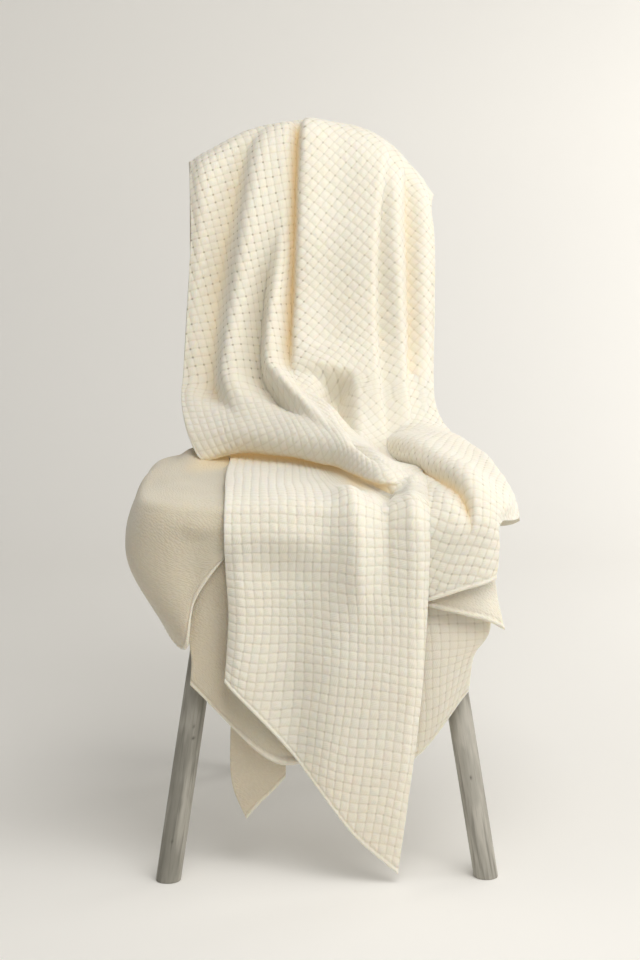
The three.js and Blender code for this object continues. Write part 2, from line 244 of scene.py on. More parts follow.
# Seat and back board. A thick board with round corners, and a raked board with an arched top that
# stands on it, both of the same old grey wood as the legs and all but hidden by the blanket.

for board, grain_way in (("seat", "depth"), ("back_board", "width")):
    bpy.data.objects[board].material_slots[0].material = wood_material("grey_" + board, grain_way)


# Blanket, drop behind the chair. One ivory wool throw, a heavy plaited knit about 5 mm thick, hung
# over the back board; this end falls behind it in three soft folds to a rolled hem.

CLOTH = 5.0
STITCH_WIDE = 10.6
STITCH_HIGH = 11.4
STITCH_RISE = 1.05
STITCH_SINK = 0.65
STITCH_TIP = 0.2
CHANCE_RISE = 0.22
HEM = 2.7
HEM_WIDTHS = 2.4
HEM_ROWS = 9
HEM_NECK = 1.1
UNEVEN = 0.7
BACK_EVERY = 3
BACK_FROM = 2.3
IVORY = (0.862, 0.815, 0.706)
# Darker ivory: random tone on the knit, and painted shade in its grooves.
IVORY_TONE_AND_PAINTED_GROOVE_SHADE = (0.640, 0.565, 0.415)
# Painted shade at the pinholes.
PAINTED_PINHOLE_SHADE = (0.400, 0.345, 0.250)
# Painted tan shade and painted glow in the marked folds.
PAINTED_FOLD_SHADE_TAN = (0.760, 0.580, 0.310)
# The wrong side's ivory: a darker copy of the right side's, painted shade.
PAINTED_SHADE_PURL_IVORY = (0.690, 0.627, 0.495)
PURL_SHADE = (0.575, 0.505, 0.370)
# Strengths of the painted groove shade, pinhole shade, fold shade and fold glow.
PAINTED_GROOVE_SHADE_TINT = 0.22
PAINTED_PINHOLE_SHADE_TINT = 0.85
PAINTED_FOLD_SHADE_TINT = 0.8
PAINTED_FOLD_GLOW_STRENGTH = 0.19
YARN_DEPTH = 0.6 * MM
LOOP_DEPTH = 1.6 * MM

# From the hem behind the chair, over its back, down to the roll on the seat, tucked under the roll,
# forward over the seat and down in front to the slanting hem. Five places across each section.
MAIN = [
    ("rear hem", (-160, 302, 372), (-80, 303, 340), (0, 300, 330), (80, 300, 352), (158, 298, 402)),
    ("rear", (-172, 300, 600), (-86, 302, 592), (0, 302, 590), (83, 300, 596), (164, 297, 610)),
    ("behind the top", (-172, 293, 815), (-82, 297, 860), (4, 298, 872), (84, 296, 843), (160, 290, 775)),
    ("over the top", (-171, 267, 854), (-82, 270, 898), (6, 271, 908), (90, 269, 887), (166, 264, 811)),
    ("under the top", (-172, 234, 838), (-84, 234, 879), (4, 234, 888), (88, 233, 861), (167, 231, 790)),
    ("back, high", (-170, 212, 765), (-85, 207, 774), (0, 204, 775), (83, 204, 764), (164, 206, 740)),
    ("back, middle", (-176, 202, 665), (-88, 196, 668), (-2, 192, 670), (82, 193, 667), (163, 196, 660)),
    ("back, low", (-184, 184, 580), (-93, 164, 588), (-4, 158, 592), (80, 163, 584), (164, 182, 570)),
    ("roll, behind", (-186, 172, 556), (-94, 146, 561), (-2, 116, 556), (80, 62, 486), (160, 96, 478)),
    ("roll, top", (-182, 152, 530), (-94, 118, 535), (2, 58, 530), (76, -88, 496), (126, -60, 476)),
    ("roll, front", (-173, 122, 499), (-90, 80, 507), (8, -14, 507), (70, -146, 492), (124, -108, 477)),
    ("roll, low", (-158, 106, 470), (-86, 82, 486), (10, -18, 484), (66, -160, 481), (123, -130, 477)),
    ("roll, under",
     (-146, 112, 469.5), (-80, 114, 475.5), (10, 10, 476), (67, -155, 477), (122, -150, 475)),
    ("tuck", (-138, 152, 473), (-72, 150, 474.5), (4, 80, 475), (66, -147, 473), (121, -167, 473)),
    ("tuck, under", (-118, 134, 466), (-62, 124, 467), (-2, 62, 467), (63, -154, 467), (121, -184, 470)),
    ("seat", (-122, -40, 467), (-63, -40, 467), (-4, -68, 466), (59, -168, 465), (120, -201, 465)),
    ("seat, front",
     (-122, -190, 465), (-64, -190, 466), (-4, -194, 465), (56, -205, 463), (120, -217, 456)),
    ("rim", (-123, -225, 440), (-63, -226, 440), (-3, -228, 438), (58, -230, 436), (120, -231, 432)),
    ("panel, high",
     (-122, -230, 385), (-63, -234, 380), (-4, -236, 372), (56, -237, 360), (118, -237, 345)),
    ("panel, middle",
     (-119, -232, 325), (-67, -237, 304), (-12, -240, 278), (47, -240, 248), (110, -239, 215)),
    ("panel hem", (-124, -233, 248), (-72, -239, 190), (-22, -242, 131), (30, -243, 62), (84, -242, 12)),
]

# One row a fold, raised (+) or sunk (-): from one section to another by number, its place across at
# both ends and how far it bows aside, its half width to the left and right, depth and sideways lean.
MAIN_FOLDS = [
    ("left edge turned back", 2.5, 9.6, 0.0, 0, 0.0, 0.03, 0.03, -9, 0),
    ("right edge turned back", 2.5, 8.6, 1.0, 0, 1.0, 0.04, 0.04, -16, 0),
    ("outer left valley", 3.2, 9.4, 0.285, -0.125, 0.18, 0.08, 0.045, -27, 0),
    ("middle left lobe", 3.6, 9.7, 0.30, -0.10, 0.25, 0.032, 0.08, 16, 0),
    ("inner left valley", 4.9, 9.4, 0.35, -0.10, 0.44, 0.055, 0.026, -28, 0),
    ("rolled ridge", 5.0, 9.6, 0.385, -0.11, 0.53, 0.026, 0.036, 20, -3),
    ("pleat", 2.7, 7.5, 0.426, 0, 0.402, 0.026, 0.018, -21, 0),
    ("pleat edge", 2.95, 7.8, 0.456, 0, 0.432, 0.012, 0.09, 11, -2),
    ("right middle lobe", 3.2, 8.2, 0.775, -0.05, 0.765, 0.12, 0.026, 7, 1),
    ("right groove", 3.2, 8.2, 0.808, -0.05, 0.798, 0.012, 0.035, -6, 0),
    ("right lobe", 3.4, 8.2, 0.775, 0.015, 0.87, 0.045, 0.028, 7, 1),
    ("right wide valley", 3.0, 8.2, 0.875, -0.01, 0.90, 0.022, 0.05, -15, 0),
    ("above the gather", 6.6, 7.4, 0.57, 0, 0.58, 0.09, 0.06, 6, 0),
    ("gather", 6.8, 8.2, 0.53, 0, 0.55, 0.07, 0.045, 4, 0),
    ("pocket", 7.1, 8.3, 0.62, 0, 0.63, 0.10, 0.024, -50, 0),
    ("above the rope", 8.2, 9.9, 0.59, 0, 0.66, 0.05, 0.05, -11, 0),
    ("rope on the panel", 10.0, 18.7, 0.93, 0, 0.92, 0.045, 0.06, 9, 0),
    ("beside the rope", 12.8, 18.4, 0.81, 0, 0.80, 0.05, 0.03, -10, 0),
    ("rear left valley", 0.0, 2.4, 0.25, 0, 0.3, 0.06, 0.06, -12, 0),
    ("rear middle ridge", 0.0, 2.4, 0.48, 0, 0.46, 0.06, 0.06, 14, 0),
    ("rear right valley", 0.0, 2.4, 0.72, 0, 0.7, 0.06, 0.06, -12, 0),
    ("panel left edge", 17.2, 20.4, 0.0, 0, 0.0, 0.04, 0.04, -7, 0),
    ("panel right edge", 15.5, 20.2, 1.0, 0, 1.0, 0.03, 0.03, -6, 0),
    ("panel ridge", 15.0, 18.7, 0.62, 0, 0.68, 0.07, 0.05, 10, 0),
    ("panel valley", 16.4, 19.2, 0.49, 0, 0.51, 0.10, 0.06, -4, 0),
    ("panel hollow", 17.2, 20.8, 0.33, 0, 0.40, 0.25, 0.17, -20, 0),
]


def between(values, at):
    """A smooth value through every row: the cubic through the two rows beside a place, whose slopes
    are half the step between the rows on either side; past the ends the table goes on straight."""
    first = 2 * values[:1] - values[1:2]
    last = 2 * values[-1:] - values[-2:-1]
    rows = np.concatenate([first, values, last])
    i = np.clip(np.floor(at).astype(int), 0, len(values) - 2)
    t = (at - i)[:, None]
    a, b, c, d = rows[i], rows[i + 1], rows[i + 2], rows[i + 3]
    square = 2 * a - 5 * b + 4 * c - d
    cube = 3 * b - a - 3 * c + d
    return (2 * b + (c - a) * t + square * t**2 + cube * t**3) / 2


def unit(vectors):
    return vectors / np.maximum(np.linalg.norm(vectors, axis=-1, keepdims=True), 1e-9)


def plain_cloth(sections, u, at):
    """The cloth before it is folded, at places u across, from 0 to 1, and sections by number: a smooth
    curve from section to section through each of their places, and one across through those."""
    count = sections.shape[1]
    along = between(sections.reshape(len(sections), -1), at).reshape(len(at), count, 3)
    across = between(along.transpose(1, 0, 2).reshape(count, -1), u * (count - 1))
    return across.reshape(len(u), len(at), 3).transpose(1, 0, 2)


def directions(sections, u, at):
    """Across and outward directions of the cloth without folds, from small steps to each side."""
    last = len(sections) - 1
    right, left = np.minimum(u + 0.004, 1), np.maximum(u - 0.004, 0)
    below, above = np.minimum(at + 0.02, last), np.maximum(at - 0.02, 0)
    across = unit(plain_cloth(sections, right, at) - plain_cloth(sections, left, at))
    along = unit(plain_cloth(sections, u, below) - plain_cloth(sections, u, above))
    return across, unit(np.cross(along, across))


def fold_height(folds, u, at):
    """How far the folds move the cloth outward and sideways: each is a bell across its own middle
    line, a bowed curve, with its own width to each side, and fades over a quarter of its length."""
    out = np.zeros((len(at), len(u)))
    side = np.zeros_like(out)
    for _, start, end, u0, bow, u1, left, right, depth, lean in folds:
        t = (at - start) / (end - start)
        fade = smooth(t, 0, 0.25) * smooth(1 - t, 0, 0.25)
        t = np.clip(t, 0, 1)
        away = u[None, :] - (u0 + (u1 - u0) * t + 4 * bow * t * (1 - t))[:, None]
        bell = fade[:, None] * np.exp(-((away / np.where(away < 0, left, right)) ** 2))
        out += depth * bell
        side += lean * bell
    return out, side


def folded_cloth(sections, folds, u, at):
    """The plain cloth, moved outward and sideways by its folds."""
    across, out = directions(sections, u, at)
    up, side = fold_height(folds, u, at)
    return plain_cloth(sections, u, at) + out * up[..., None] + across * side[..., None]


def lengths(points, axis):
    """Distance along the cloth from its first point, in that direction of the grid."""
    step = np.linalg.norm(np.diff(points, axis=axis), axis=-1)
    return np.concatenate([np.zeros_like(step.take([0], axis)), np.cumsum(step, axis)], axis)


def even_places(run, places, step, hem):
    """Places whose spacing on the cloth is about step; at a hem they crowd towards the edge, as the
    sine of even angles, so that the round edge is smooth."""
    total = run[-1]
    edge = HEM_WIDTHS * HEM if hem else 0.0
    edge_steps = HEM_ROWS if hem else 0
    count = math.ceil(((total - edge) / step + edge_steps) / BACK_EVERY) * BACK_EVERY - edge_steps
    even = np.linspace(0, total - edge, count + 1)
    crowded = total - edge + edge * np.sin(np.linspace(0, math.pi / 2, edge_steps + 1)[1:])
    wanted = np.concatenate([even, crowded])
    return np.interp(total - wanted[::-1] if hem == "start" else wanted, run, places)


def cloth_grid(sections, folds, reach, step, hem):
    """Columns and rows of the grid, about a step apart on the folded cloth: the rows by its mean
    length, the columns by the spacing that three sections in four stay under."""
    many, few = 801, 15
    u = np.linspace(0, 1, many)
    at = np.linspace(*reach, many)
    across = lengths(folded_cloth(sections, folds, u, np.linspace(*reach, few)), 1)
    along = lengths(folded_cloth(sections, folds, np.linspace(0, 1, few), at), 0)
    wide = np.concatenate([[0], np.cumsum(np.percentile(np.diff(across, axis=1), 75, axis=0))])
    return even_places(wide, u, step, ""), even_places(along.mean(axis=1), at, step, hem)


def stitch_height(a, b):
    """Plaited stitch: a round cushion that falls to a groove at its four borders, tipped up along its
    rows or its columns in turn, as bands that pass over and under each other, and raised a little by
    chance."""
    i, j = np.floor(a), np.floor(b)
    x, y = 2 * np.abs(a - i - 0.5), 2 * np.abs(b - j - 0.5)
    over = np.where((i + j) % 2 == 0, 1.0, -1.0)
    chance = np.sin(i * 12.9898 + j * 78.233) * 43758.5453
    rise = CHANCE_RISE * (chance - np.floor(chance) - 0.5)
    cushion = (1 - x**2.6) * (1 - y**2.6)
    return (STITCH_RISE + rise) * cushion - STITCH_SINK + STITCH_TIP * over * (x**2 - y**2)


def hem_profile(distance, beat, bead):
    """Half thickness near a rolled edge: a round bead at the end, a shallow neck behind it, then
    the plain cloth. The bead swells a little at every stitch."""
    bead = bead * (1 + 0.10 * np.cos(2 * math.pi * beat))
    d = distance / bead
    end = bead * np.sqrt(np.clip(1 - (1 - np.minimum(d, 1)) ** 2, 0, 1))
    neck = HEM_NECK * np.exp(-(((d - 2.3) / 0.6) ** 2))
    body = bead + (CLOTH / 2 - bead) * smooth(d, 1, HEM_WIDTHS) - neck
    return np.where(d < 1, end, body)


def quads(grid):
    """The four corners of each square of a grid of point numbers."""
    return np.stack([grid[:-1, :-1], grid[1:, :-1], grid[1:, 1:], grid[:-1, 1:]], -1).reshape(-1, 4)


def cloth_piece(name, front, back, weave, marks, knit_out):
    """A closed sheet: a fine grid on its face, a coarser one on its back, and a rim of many-sided
    faces that joins them along the four edges."""
    rows, columns = front.shape[:2]
    fine = np.arange(rows * columns).reshape(rows, columns)
    coarse = rows * columns + np.arange(back.shape[0] * back.shape[1]).reshape(back.shape[:2])
    face = quads(fine)
    rear = quads(coarse)[:, [0, 3, 2, 1]]
    sides = [(fine[0], coarse[0]), (fine[:, -1], coarse[:, -1])]
    sides += [(fine[-1, ::-1], coarse[-1, ::-1]), (fine[::-1, 0], coarse[::-1, 0])]
    rim = []
    for near, far in sides:
        runs = near[(np.arange(len(far) - 1) * BACK_EVERY)[:, None] + np.arange(BACK_EVERY + 1)]
        rim.append(np.concatenate([runs, far[1:, None], far[:-1, None]], axis=1))
    rim = np.concatenate(rim)
    corners = np.concatenate([face.ravel(), rear.ravel(), rim.ravel()])
    sizes = np.concatenate([np.full(len(face) + len(rear), 4), np.full(len(rim), BACK_EVERY + 3)])
    piece = new_piece(name, np.concatenate([front.reshape(-1, 3), back.reshape(-1, 3)]), corners, sizes)

    def on_both(grid):
        kept = grid[::BACK_EVERY, ::BACK_EVERY]
        return np.concatenate([grid.reshape(rows * columns, -1), kept.reshape(coarse.size, -1)])

    mesh = piece.data
    layer = mesh.uv_layers.new(name="weave")
    layer.data.foreach_set("uv", on_both(np.stack(weave, -1))[corners].astype(np.float32).ravel())
    for mark, grid in marks.items():
        held = mesh.attributes.new(mark, "FLOAT", "POINT")
        held.data.foreach_set("value", on_both(grid[..., None]).astype(np.float32).ravel())
    face_look = np.where(knit_out[:-1, :-1].ravel(), 0, 1)
    rear_look = np.where(knit_out[::BACK_EVERY, ::BACK_EVERY][:-1, :-1].ravel(), 1, 0)
    rim_look = np.full(len(rim), int(np.median(face_look)))
    looks = np.concatenate([face_look, rear_look, rim_look])
    mesh.polygons.foreach_set("material_index", looks.astype(np.int32))
    mesh.update(calc_edges=True)
    return piece


def broad(grid, u, width):
    """The grid with each row averaged across by a bell of that width."""
    weight = np.exp(-(((u[:, None] - u[None, :]) / width) ** 2))
    return grid @ (weight / weight.sum(axis=0))


def column_at(grid, u, place):
    """Each row's value at its own place across."""
    i = np.clip(np.searchsorted(u, place) - 1, 0, len(u) - 2)
    share = ((place - u[i]) / (u[i + 1] - u[i]))[:, None]
    left = np.take_along_axis(grid, i[:, None], 1)
    right = np.take_along_axis(grid, i[:, None] + 1, 1)
    return left * (1 - share) + right * share


def upright(p, q, u, at):
    return p / STITCH_WIDE, q / STITCH_HIGH


def turned(p, q, degrees):
    """Stitch counts across and along a weave that is turned on the cloth."""
    c, s = math.cos(math.radians(degrees)), math.sin(math.radians(degrees))
    return (p * c + q * s) / STITCH_WIDE, (q * c - p * s) / STITCH_HIGH


def over_cloth(value, u, at):
    """A value that is the same all over the cloth, or changes with the place on it."""
    return value(u, at) if callable(value) else value


def knit_sheet(name, table, folds, reach, step, weave=upright, zero=(0.0, 0.0), hem="",
               knit=True, holes=0.0, painted_light=0.0, painted_shade_folds=(), bead=HEM, raised=1.0):
    """One sheet of the blanket. Stitches are counted by lengths p across, partly along the folds, and
    q along the cloth, even across its width, from a zero place. Its face gets the stitches' height,
    its edge the rolled hem, and both sides a slight unevenness."""
    sections = np.array([row[1:] for row in table], dtype=float)
    u, at = cloth_grid(sections, folds, reach, step, hem)
    middle = folded_cloth(sections, folds, u, at)
    out = unit(np.cross(np.gradient(middle, axis=0), np.gradient(middle, axis=1)))
    plain = plain_cloth(sections, u, at)
    p = 0.6 * lengths(middle, 1) + 0.4 * lengths(plain, 1)
    run = lengths(middle, 0)
    q = broad(lengths(plain, 0), u, 0.15)
    line = zero[0] if isinstance(zero[0], tuple) else ((0, 1), (zero[0], zero[0]))
    p = p - column_at(p, u, np.interp(at, *line))
    q = q - q[np.argmin(np.abs(at - zero[1]))]
    across, down = u[None, :], at[:, None]
    a, b = weave(p, q, across, down)
    sway = 2 * math.pi * np.stack([0.071 * a + 0.043 * b, 0.039 * a - 0.083 * b, 0.19 * a + 0.11 * b])
    a = a + 0.10 * np.sin(sway[0] + 1.3) + 0.035 * np.sin(sway[2])
    b = b + 0.10 * np.sin(sway[1] + 0.4) + 0.035 * np.sin(sway[2] + 2.1)
    knit_out = over_cloth(knit, across, down) & np.ones_like(p, dtype=bool)
    distance = {"start": run, "end": run[-1:] - run}.get(hem, np.full_like(p, 1e3))
    bead = over_cloth(bead, across, down) + 0 * across
    half = hem_profile(distance, a + b, bead)
    relief = raised * stitch_height(a, b) * smooth(distance, 1.6 * HEM, 3 * HEM) * knit_out
    uneven = UNEVEN * np.sin(p / 19 + q / 41 + 0.7) * np.sin(q / 23 - p / 57)
    front = middle + out * (half + relief + uneven)[..., None]
    back = (middle + out * (uneven - half)[..., None])[::BACK_EVERY, ::BACK_EVERY]
    # Masks: pinholes painted as dark shade, painted light, painted tan shade and glow in folds, and the
    # hem.
    marks = {
        "open": over_cloth(holes, across, down) + 0 * p,
        "painted_light": over_cloth(painted_light, across, down) + 0 * p,
        "painted_fold_shade_and_glow": np.clip(fold_height(painted_shade_folds, u, at)[0], 0, 1),
        "hem": 1 - smooth(distance, 1.3 * bead, 2.0 * bead),
    }
    return cloth_piece(name, front, back, (a, b), marks, knit_out)


def yarn_fuzz():
    """Loose wool fibres: fine even noise for bump and a broad one for slight shade changes."""
    tree, given, made = new_group(
        "yarn_fuzz", [("Place", "NodeSocketVector")],
        [("Fine", "NodeSocketFloat"), ("Broad", "NodeSocketFloat")])
    fine = node(tree, "ShaderNodeTexNoise", {"Vector": given["Place"], "Scale": 900.0, "Detail": 3.0})
    wide = node(tree, "ShaderNodeTexNoise", {"Vector": given["Place"], "Scale": 14.0, "Detail": 2.0})
    tree.links.new(fine.outputs["Fac"], made["Fine"])
    tree.links.new(wide.outputs["Fac"], made["Broad"])
    return tree


def stitch_marks():
    """From the stitch counts: the groove round each stitch, the pinhole at each corner where four
    meet, and the plies of yarn that lie along each band."""
    tree, given, made = new_group(
        "stitch_marks", [("Stitches", "NodeSocketVector")],
        [("Groove", "NodeSocketFloat"), ("Hole", "NodeSocketFloat"), ("Plies", "NodeSocketFloat")])
    count = node(tree, "ShaderNodeSeparateXYZ", {0: given["Stitches"]}).outputs
    edge = []
    share = []
    for k in (0, 1):
        share.append(maths(tree, "FRACT", count[k]))
        middle = maths(tree, "ABSOLUTE", maths(tree, "SUBTRACT", share[k], 0.5))
        edge.append(maths(tree, "SUBTRACT", 0.5, middle))
    near = maths(tree, "MINIMUM", edge[0], edge[1])
    squares = [maths(tree, "POWER", value, 2.0) for value in edge]
    reach = maths(tree, "SQRT", maths(tree, "ADD", *squares))
    whole = maths(tree, "ADD", maths(tree, "FLOOR", count[0]), maths(tree, "FLOOR", count[1]))
    level = maths(tree, "FLOORED_MODULO", whole, 2.0)
    across = node(tree, "ShaderNodeMix", {0: level, 2: share[0], 3: share[1]}).outputs[0]
    along = node(tree, "ShaderNodeMix", {0: level, 2: share[1], 3: share[0]}).outputs[0]
    twist = maths(tree, "ADD", maths(tree, "MULTIPLY", across, 4.0), maths(tree, "MULTIPLY", along, 1.5))
    plies = maths(tree, "SINE", maths(tree, "MULTIPLY", twist, 2 * math.pi))
    tree.links.new(ramp(tree, near, 0.0, 0.15, 1.0, 0.0), made["Groove"])
    half = (0.5, 0.5, 0.0)
    corner = node(tree, "ShaderNodeVectorMath", {0: given["Stitches"], 1: half}, operation="ADD").outputs[0]
    corner = node(tree, "ShaderNodeVectorMath", {0: corner}, operation="FLOOR").outputs[0]
    chance = node(tree, "ShaderNodeTexWhiteNoise", {"Vector": corner}, noise_dimensions="2D")
    wide = ramp(tree, chance.outputs["Value"], 0.0, 0.9, 0.15, 1.0)
    hole = maths(tree, "MULTIPLY", ramp(tree, reach, 0.05, 0.19, 1.0, 0.0), wide)
    tree.links.new(hole, made["Hole"])
    tree.links.new(plies, made["Plies"])
    return tree


YARN_FUZZ = yarn_fuzz()
STITCH_MARKS = stitch_marks()


def wool_finish(shader):
    shader.inputs["Roughness"].default_value = 0.93
    shader.inputs["Sheen Weight"].default_value = 0.25
    shader.inputs["Sheen Roughness"].default_value = 0.6
    shader.inputs["Specular IOR Level"].default_value = 0.2
    shader.inputs["Subsurface Weight"].default_value = 0.4
    shader.inputs["Subsurface Radius"].default_value = (1.0, 0.7, 0.4)
    shader.inputs["Subsurface Scale"].default_value = 0.008


def painted_fold_glow(tree, shader, painted_fold_shade_and_glow):
    """Painted glow: a tan emission in the marked folds, standing in for light that comes through the wool.
    """
    shader.inputs["Emission Color"].default_value = (*PAINTED_FOLD_SHADE_TAN, 1)
    tree.links.new(maths(tree, "MULTIPLY", painted_fold_shade_and_glow, PAINTED_FOLD_GLOW_STRENGTH), shader.inputs["Emission Strength"])


def knit_material():
    """The knit's right side: ivory, with painted shade in the grooves and at the pinholes where the cloth
    is drawn open, and painted tan shade and glow in the marked folds.
    """
    made, tree, shader = new_material("ivory_knit")
    place = node(tree, "ShaderNodeTexCoord").outputs["Object"]
    stitches = node(tree, "ShaderNodeUVMap", uv_map="weave").outputs[0]
    fuzz = node(tree, "ShaderNodeGroup", node_tree=YARN_FUZZ)
    tree.links.new(place, fuzz.inputs[0])
    marks = node(tree, "ShaderNodeGroup", node_tree=STITCH_MARKS)
    tree.links.new(stitches, marks.inputs[0])
    drawn = {}
    for name in ("open", "painted_fold_shade_and_glow", "hem"):
        drawn[name] = node(tree, "ShaderNodeAttribute", attribute_name=name).outputs["Fac"]
    plain = maths(tree, "SUBTRACT", 1.0, drawn["hem"])
    groove = maths(tree, "MULTIPLY", marks.outputs["Groove"], plain)
    hole = maths(tree, "MULTIPLY", maths(tree, "MULTIPLY", marks.outputs["Hole"], drawn["open"]), plain)
    shade = ramp(tree, fuzz.outputs["Broad"], 0.3, 0.7, 0.0, 0.10)
    colour = tint(tree, shade, IVORY, IVORY_TONE_AND_PAINTED_GROOVE_SHADE)
    # Painted shade in the grooves round each stitch.
    colour = tint(tree, maths(tree, "MULTIPLY", groove, PAINTED_GROOVE_SHADE_TINT), colour, IVORY_TONE_AND_PAINTED_GROOVE_SHADE)
    # Painted shade at the pinholes.
    colour = tint(tree, maths(tree, "MULTIPLY", hole, PAINTED_PINHOLE_SHADE_TINT), colour, PAINTED_PINHOLE_SHADE)
    # Painted tan shade in the marked folds, with a painted glow.
    colour = tint(tree, maths(tree, "MULTIPLY", drawn["painted_fold_shade_and_glow"], PAINTED_FOLD_SHADE_TINT), colour, PAINTED_FOLD_SHADE_TAN)
    tree.links.new(colour, shader.inputs["Base Color"])
    painted_fold_glow(tree, shader, drawn["painted_fold_shade_and_glow"])
    fibres = maths(tree, "MULTIPLY", fuzz.outputs["Fine"], 0.9)
    height = maths(tree, "MULTIPLY_ADD", marks.outputs["Plies"], 0.22, fibres)
    height = maths(tree, "SUBTRACT", height, maths(tree, "MULTIPLY", groove, 0.6))
    bump = node(tree, "ShaderNodeBump", {"Height": height, "Strength": 0.5, "Distance": YARN_DEPTH})
    tree.links.new(bump.outputs[0], shader.inputs["Normal"])
    wool_finish(shader)
    return made


def purl_material():
    """The knit's wrong side: short slanting loops like grains of rice, each a cell on the stitch counts
    that is drawn out along the slant. Its ivory is a darker copy of the right side's, painted shade;
    painted shade also lies between the loops, and painted tan shade and glow in the marked folds. Paler on
    the hem, and painted light where light comes through one layer."""
    made, tree, shader = new_material("ivory_purl")
    place = node(tree, "ShaderNodeTexCoord").outputs["Object"]
    stitches = node(tree, "ShaderNodeUVMap", uv_map="weave").outputs[0]
    fuzz = node(tree, "ShaderNodeGroup", node_tree=YARN_FUZZ)
    tree.links.new(place, fuzz.inputs[0])
    slant = {"Vector": stitches, "Rotation": (0, 0, 0.5), "Scale": (0.44, 0.22, 1.0)}
    slanted = node(tree, "ShaderNodeMapping", slant, vector_type="TEXTURE").outputs[0]
    cells = {"Vector": slanted, "Scale": 1.0, "Randomness": 0.75}
    loop = node(tree, "ShaderNodeTexVoronoi", cells, voronoi_dimensions="2D")
    loops = ramp(tree, loop.outputs["Distance"], 0.62, 0.12)
    hem = node(tree, "ShaderNodeAttribute", attribute_name="hem").outputs["Fac"]
    painted_fold_shade_and_glow = node(tree, "ShaderNodeAttribute", attribute_name="painted_fold_shade_and_glow").outputs["Fac"]
    painted_light = node(tree, "ShaderNodeAttribute", attribute_name="painted_light").outputs["Fac"]
    plain = maths(tree, "SUBTRACT", 1.0, hem)
    hollow = maths(tree, "MULTIPLY", maths(tree, "SUBTRACT", 1.0, loops), plain)
    shade = ramp(tree, fuzz.outputs["Broad"], 0.3, 0.7, 0.0, 0.12)
    colour = tint(tree, shade, PAINTED_SHADE_PURL_IVORY, PURL_SHADE)
    # Painted shade in the hollows between loops.
    colour = tint(tree, maths(tree, "MULTIPLY", hollow, 0.20), colour, PURL_SHADE)
    colour = tint(tree, maths(tree, "MULTIPLY", hem, 0.55), colour, IVORY)
    # Painted light where light comes through one layer.
    colour = tint(tree, painted_light, colour, IVORY)
    # Painted tan shade in the marked folds, with a painted glow.
    colour = tint(tree, maths(tree, "MULTIPLY", painted_fold_shade_and_glow, 0.6), colour, PAINTED_FOLD_SHADE_TAN)
    tree.links.new(colour, shader.inputs["Base Color"])
    painted_fold_glow(tree, shader, painted_fold_shade_and_glow)
    height = maths(tree, "MULTIPLY_ADD", fuzz.outputs["Fine"], 0.3, loops)
    bump = node(tree, "ShaderNodeBump", {"Height": height, "Strength": 0.35, "Distance": LOOP_DEPTH})
    tree.links.new(bump.outputs[0], shader.inputs["Normal"])
    wool_finish(shader)
    return made


knit_side = knit_material()
purl_side = purl_material()


def dress(piece):
    piece.data.materials.append(knit_side)
    piece.data.materials.append(purl_side)
    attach(piece, "root")
    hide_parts("blanket")


rear = knit_sheet(
    "blanket_rear", MAIN, MAIN_FOLDS, reach=(0, BACK_FROM), step=2.4, zero=(0.5, 1.0), hem="start",
    holes=0.5)
dress(rear)


# Blanket, front of the back and roll on the seat. The throw comes over the top in long lobes beside
# one deep pleat, gathers in a pocket below it, and lies on the seat in a roll that narrows to a rope.

PANEL_FROM = 13.6
PLEAT_LINE = ((3, 7, 9, 14), (0.43, 0.42, 0.47, 0.5))
ROLL_EDGE = ((3, 7, 8, 9, 9.6, 10.2), (0.43, 0.41, 0.425, 0.50, 0.70, 1.05))
COLUMN_LEAN = 0.25
ROPE_TWIST = (0.12, 0.45)
BACK_TURN = 38
# Where the back gets painted tan shade and glow in its folds: columns as the folds', with the strength in
# place of the depth.
BACK_PAINTED_SHADE = [
    ("pleat", 2.6, 7.6, 0.426, 0, 0.405, 0.026, 0.017, 0.9, 0),
    ("left valley", 3.2, 9.4, 0.285, -0.125, 0.18, 0.03, 0.03, 0.32, 0),
    ("under the roll", 10.9, 15.0, 0.76, 0, 0.76, 2.0, 0.06, 0.85, 0),
    ("right wide valley", 3.4, 8.2, 0.875, -0.01, 0.90, 0.015, 0.03, 0.28, 0),
]


def back_weave(p, q, u, at):
    """Columns that lean a little left of the pleat, stand upright on the roll and twist where it is a
    rope: their sideways step is summed along the cloth. Right of the pleat the weave is turned."""
    on_roll = smooth(at, 7.0, 9.0)
    from_left = p - column_at(p, u[0], np.full(len(p), 0.15))
    level = from_left[(at[:, 0] > 8) & (at[:, 0] < 11)].mean(axis=0)
    from_left = from_left + (level - from_left) * on_roll
    lean = COLUMN_LEAN * (1 - on_roll)
    step = lean + on_roll * (ROPE_TWIST[0] + (ROPE_TWIST[1] - ROPE_TWIST[0]) * smooth(u, 0.1, 0.9))
    shift = np.cumsum(step * np.gradient(q, axis=0), axis=0)
    left = (from_left - shift) / STITCH_WIDE, (q + lean * from_left) / STITCH_HIGH
    right = turned(p, q, BACK_TURN)
    beyond = u > np.interp(at, *ROLL_EDGE)
    return np.where(beyond, right[0], left[0]), np.where(beyond, right[1], left[1])


def open_high(u, at):
    """Pinholes, painted as dark shade, above the roll, about half as wide open to the right of the pleat.
    """
    return smooth(8.6 - at, 0, 1.6) * (1 - 0.45 * smooth(u, 0.43, 0.5))


back = knit_sheet(
    "blanket_back", MAIN, MAIN_FOLDS, reach=(BACK_FROM, PANEL_FROM), step=2.08, weave=back_weave,
    zero=(PLEAT_LINE, 6.0), holes=open_high, painted_shade_folds=BACK_PAINTED_SHADE)
dress(back)


# Blanket, front panel. The rest of the throw, from under the roll forward over the seat and down in
# front; its left edge is a soft fold and its lower edge a rolled hem that slants to one long corner.

PANEL_OPEN = 0.35
